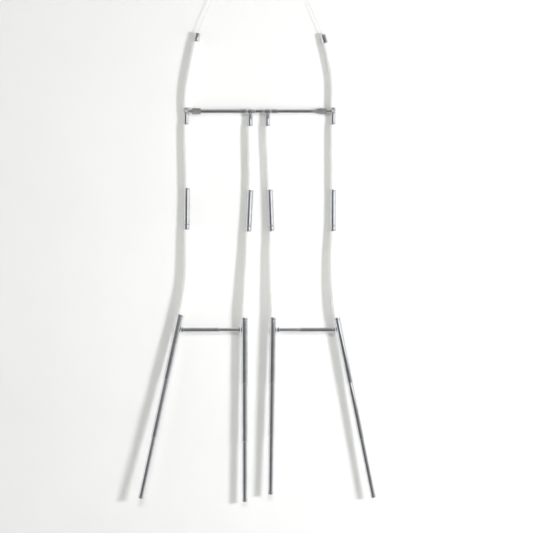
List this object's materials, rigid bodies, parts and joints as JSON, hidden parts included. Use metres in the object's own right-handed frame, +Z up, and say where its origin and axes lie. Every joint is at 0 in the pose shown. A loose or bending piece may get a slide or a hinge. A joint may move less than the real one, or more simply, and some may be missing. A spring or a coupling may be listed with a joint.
{
  "type": "hanging valet",
  "caption": "Wall-hung valet in the outline of braced trousers: a chrome crossbar, white hoses and telescopic chrome legs, hung by threads.",
  "frame": {"origin": "midway between the two thread loops, on the line of the hooks that carry them", "axes": "+X to the right seen from the front, +Y back towards the wall, +Z up"},
  "size_m": [0.593, 0.0505, 1.2754],
  "materials": {
    "chrome": "polished",
    "bright_ring": "bright",
    "hose": "satin",
    "thread": "plain"
  },
  "bodies": {
    "crossbar": {"bar_core_rod": "chrome", "bar_collar_left_outer": "chrome", "bar_tube_left": "chrome", "bar_collar_left_inner": "chrome", "bar_tube_centre": "chrome", "bar_collar_right_inner": "chrome", "bar_tube_right": "chrome", "bar_collar_right_outer": "chrome", "tee_washer_1": "bright_ring", "tee_washer_2": "bright_ring", "tee_washer_3": "bright_ring", "tee_washer_4": "bright_ring", "left_brace_hose": "hose", "left_brace_cap": "chrome", "left_thread": "thread", "left_thread_loop": "thread", "right_brace_hose": "hose", "right_brace_cap": "chrome", "right_thread": "thread", "right_thread_loop": "thread", "left_inner_tee": "chrome", "left_outer_end_fitting": "chrome", "right_inner_tee": "chrome", "right_outer_end_fitting": "chrome"},
    "left_inner_thigh": {"left_inner_thigh_hose": "hose", "left_inner_sleeve_outer": "chrome"},
    "left_inner_knee": {"left_inner_sleeve_inner": "chrome", "left_inner_knee_hose": "hose"},
    "left_inner_shin": {"left_inner_shin_upper": "chrome", "left_rung_rod": "chrome"},
    "left_inner_shin_mid": {"left_inner_shin_middle": "chrome"},
    "left_inner_foot": {"left_inner_shin_lower": "chrome", "left_inner_foot_cap": "chrome"},
    "left_outer_hip": {"left_outer_thigh_hose": "hose"},
    "left_outer_thigh": {"left_outer_sleeve_outer": "chrome"},
    "left_outer_knee": {"left_outer_sleeve_inner": "chrome", "left_outer_knee_hose": "hose"},
    "left_outer_shin": {"left_outer_shin_upper": "chrome", "left_rung_tube": "chrome"},
    "left_outer_shin_mid": {"left_outer_shin_middle": "chrome"},
    "left_outer_foot": {"left_outer_shin_lower": "chrome", "left_outer_foot_cap": "chrome"},
    "right_inner_thigh": {"right_inner_thigh_hose": "hose", "right_inner_sleeve_outer": "chrome"},
    "right_inner_knee": {"right_inner_sleeve_inner": "chrome", "right_inner_knee_hose": "hose"},
    "right_inner_shin": {"right_inner_shin_upper": "chrome", "right_rung_rod": "chrome"},
    "right_inner_shin_mid": {"right_inner_shin_middle": "chrome"},
    "right_inner_foot": {"right_inner_shin_lower": "chrome", "right_inner_foot_cap": "chrome"},
    "right_outer_hip": {"right_outer_thigh_hose": "hose"},
    "right_outer_thigh": {"right_outer_sleeve_outer": "chrome"},
    "right_outer_knee": {"right_outer_sleeve_inner": "chrome", "right_outer_knee_hose": "hose"},
    "right_outer_shin": {"right_outer_shin_upper": "chrome", "right_rung_tube": "chrome"},
    "right_outer_shin_mid": {"right_outer_shin_middle": "chrome"},
    "right_outer_foot": {"right_outer_shin_lower": "chrome", "right_outer_foot_cap": "chrome"}
  },
  "joints": [
    {"name": "left_inner_swing", "type": "hinge", "parent": "crossbar", "child": "left_inner_thigh", "pos_m": [0, -0.0005, -0.371], "axis": [-1, 0, 0], "range_deg": [0, 45], "stiffness_Nm_per_rad": 0.1, "deforming": ["left_inner_thigh_hose"]},
    {"name": "left_inner_sleeve_slide", "type": "slide", "parent": "left_inner_thigh", "child": "left_inner_knee", "axis": [-0.0461, -0.0144, -0.9988], "range_m": [0, 0.05]},
    {"name": "left_inner_knee_bend", "type": "hinge", "parent": "left_inner_knee", "child": "left_inner_shin", "pos_m": [0, -0.0055, -0.707], "axis": [-1, 0, 0], "range_deg": [0, 50], "stiffness_Nm_per_rad": 0.1, "deforming": ["left_inner_knee_hose"]},
    {"name": "left_inner_middle_slide", "type": "slide", "parent": "left_inner_shin", "child": "left_inner_shin_mid", "axis": [0.0018, -0.0186, -0.9998], "range_m": [-0.115, 0.003]},
    {"name": "left_inner_lower_slide", "type": "slide", "parent": "left_inner_shin_mid", "child": "left_inner_foot", "axis": [0.0018, -0.0186, -0.9998], "range_m": [-0.113, 0.005]},
    {"name": "left_outer_swing", "type": "hinge", "parent": "crossbar", "child": "left_outer_hip", "pos_m": [0, -0.0005, -0.371], "axis": [-1, 0, 0], "range_deg": [0, 45], "stiffness_Nm_per_rad": 0.1, "deforming": ["left_outer_thigh_hose"]},
    {"name": "left_spread", "type": "slide", "parent": "left_outer_hip", "child": "left_outer_thigh", "axis": [-1, 0, 0], "range_m": [-0.018, 0.028], "deforming": ["left_outer_thigh_hose"]},
    {"name": "left_outer_sleeve_slide", "type": "slide", "parent": "left_outer_thigh", "child": "left_outer_knee", "axis": [-0.0087, -0.0144, -0.9999], "range_m": [0, 0.05]},
    {"name": "left_outer_knee_bend", "type": "hinge", "parent": "left_outer_knee", "child": "left_outer_shin", "pos_m": [0, -0.0055, -0.707], "axis": [-1, 0, 0], "range_deg": [0, 50], "stiffness_Nm_per_rad": 0.1, "deforming": ["left_outer_knee_hose"]},
    {"name": "left_outer_middle_slide", "type": "slide", "parent": "left_outer_shin", "child": "left_outer_shin_mid", "axis": [-0.2083, -0.0529, -0.9766], "range_m": [-0.118, 0]},
    {"name": "left_outer_lower_slide", "type": "slide", "parent": "left_outer_shin_mid", "child": "left_outer_foot", "axis": [-0.2083, -0.0529, -0.9766], "range_m": [-0.118, 0]},
    {"name": "right_inner_swing", "type": "hinge", "parent": "crossbar", "child": "right_inner_thigh", "pos_m": [0, -0.0005, -0.371], "axis": [-1, 0, 0], "range_deg": [0, 45], "stiffness_Nm_per_rad": 0.1, "deforming": ["right_inner_thigh_hose"]},
    {"name": "right_inner_sleeve_slide", "type": "slide", "parent": "right_inner_thigh", "child": "right_inner_knee", "axis": [0.0356, -0.0144, -0.9993], "range_m": [0, 0.05]},
    {"name": "right_inner_knee_bend", "type": "hinge", "parent": "right_inner_knee", "child": "right_inner_shin", "pos_m": [0, -0.0055, -0.707], "axis": [-1, 0, 0], "range_deg": [0, 50], "stiffness_Nm_per_rad": 0.1, "deforming": ["right_inner_knee_hose"]},
    {"name": "right_inner_middle_slide", "type": "slide", "parent": "right_inner_shin", "child": "right_inner_shin_mid", "axis": [-0.0139, -0.0262, -0.9996], "range_m": [-0.099, 0.019]},
    {"name": "right_inner_lower_slide", "type": "slide", "parent": "right_inner_shin_mid", "child": "right_inner_foot", "axis": [-0.0139, -0.0262, -0.9996], "range_m": [-0.111, 0.007]},
    {"name": "right_outer_swing", "type": "hinge", "parent": "crossbar", "child": "right_outer_hip", "pos_m": [0, -0.0005, -0.371], "axis": [-1, 0, 0], "range_deg": [0, 45], "stiffness_Nm_per_rad": 0.1, "deforming": ["right_outer_thigh_hose"]},
    {"name": "right_spread", "type": "slide", "parent": "right_outer_hip", "child": "right_outer_thigh", "axis": [1, 0, 0], "range_m": [-0.018, 0.028], "deforming": ["right_outer_thigh_hose"]},
    {"name": "right_outer_sleeve_slide", "type": "slide", "parent": "right_outer_thigh", "child": "right_outer_knee", "axis": [-0.0038, -0.0144, -0.9999], "range_m": [0, 0.05]},
    {"name": "right_outer_knee_bend", "type": "hinge", "parent": "right_outer_knee", "child": "right_outer_shin", "pos_m": [0, -0.0055, -0.707], "axis": [-1, 0, 0], "range_deg": [0, 50], "stiffness_Nm_per_rad": 0.1, "deforming": ["right_outer_knee_hose"]},
    {"name": "right_outer_middle_slide", "type": "slide", "parent": "right_outer_shin", "child": "right_outer_shin_mid", "axis": [0.1975, -0.0297, -0.9798], "range_m": [-0.115, 0.003]},
    {"name": "right_outer_lower_slide", "type": "slide", "parent": "right_outer_shin_mid", "child": "right_outer_foot", "axis": [0.1975, -0.0297, -0.9798], "range_m": [-0.111, 0.007]}
  ],
  "couplings": [
    {"joint": "left_outer_swing", "follows": "left_inner_swing", "ratio": 1},
    {"joint": "left_outer_sleeve_slide", "follows": "left_inner_sleeve_slide", "ratio": 1},
    {"joint": "left_outer_knee_bend", "follows": "left_inner_knee_bend", "ratio": 1},
    {"joint": "right_outer_swing", "follows": "right_inner_swing", "ratio": 1},
    {"joint": "right_outer_sleeve_slide", "follows": "right_inner_sleeve_slide", "ratio": 1},
    {"joint": "right_outer_knee_bend", "follows": "right_inner_knee_bend", "ratio": 1}
  ]
}
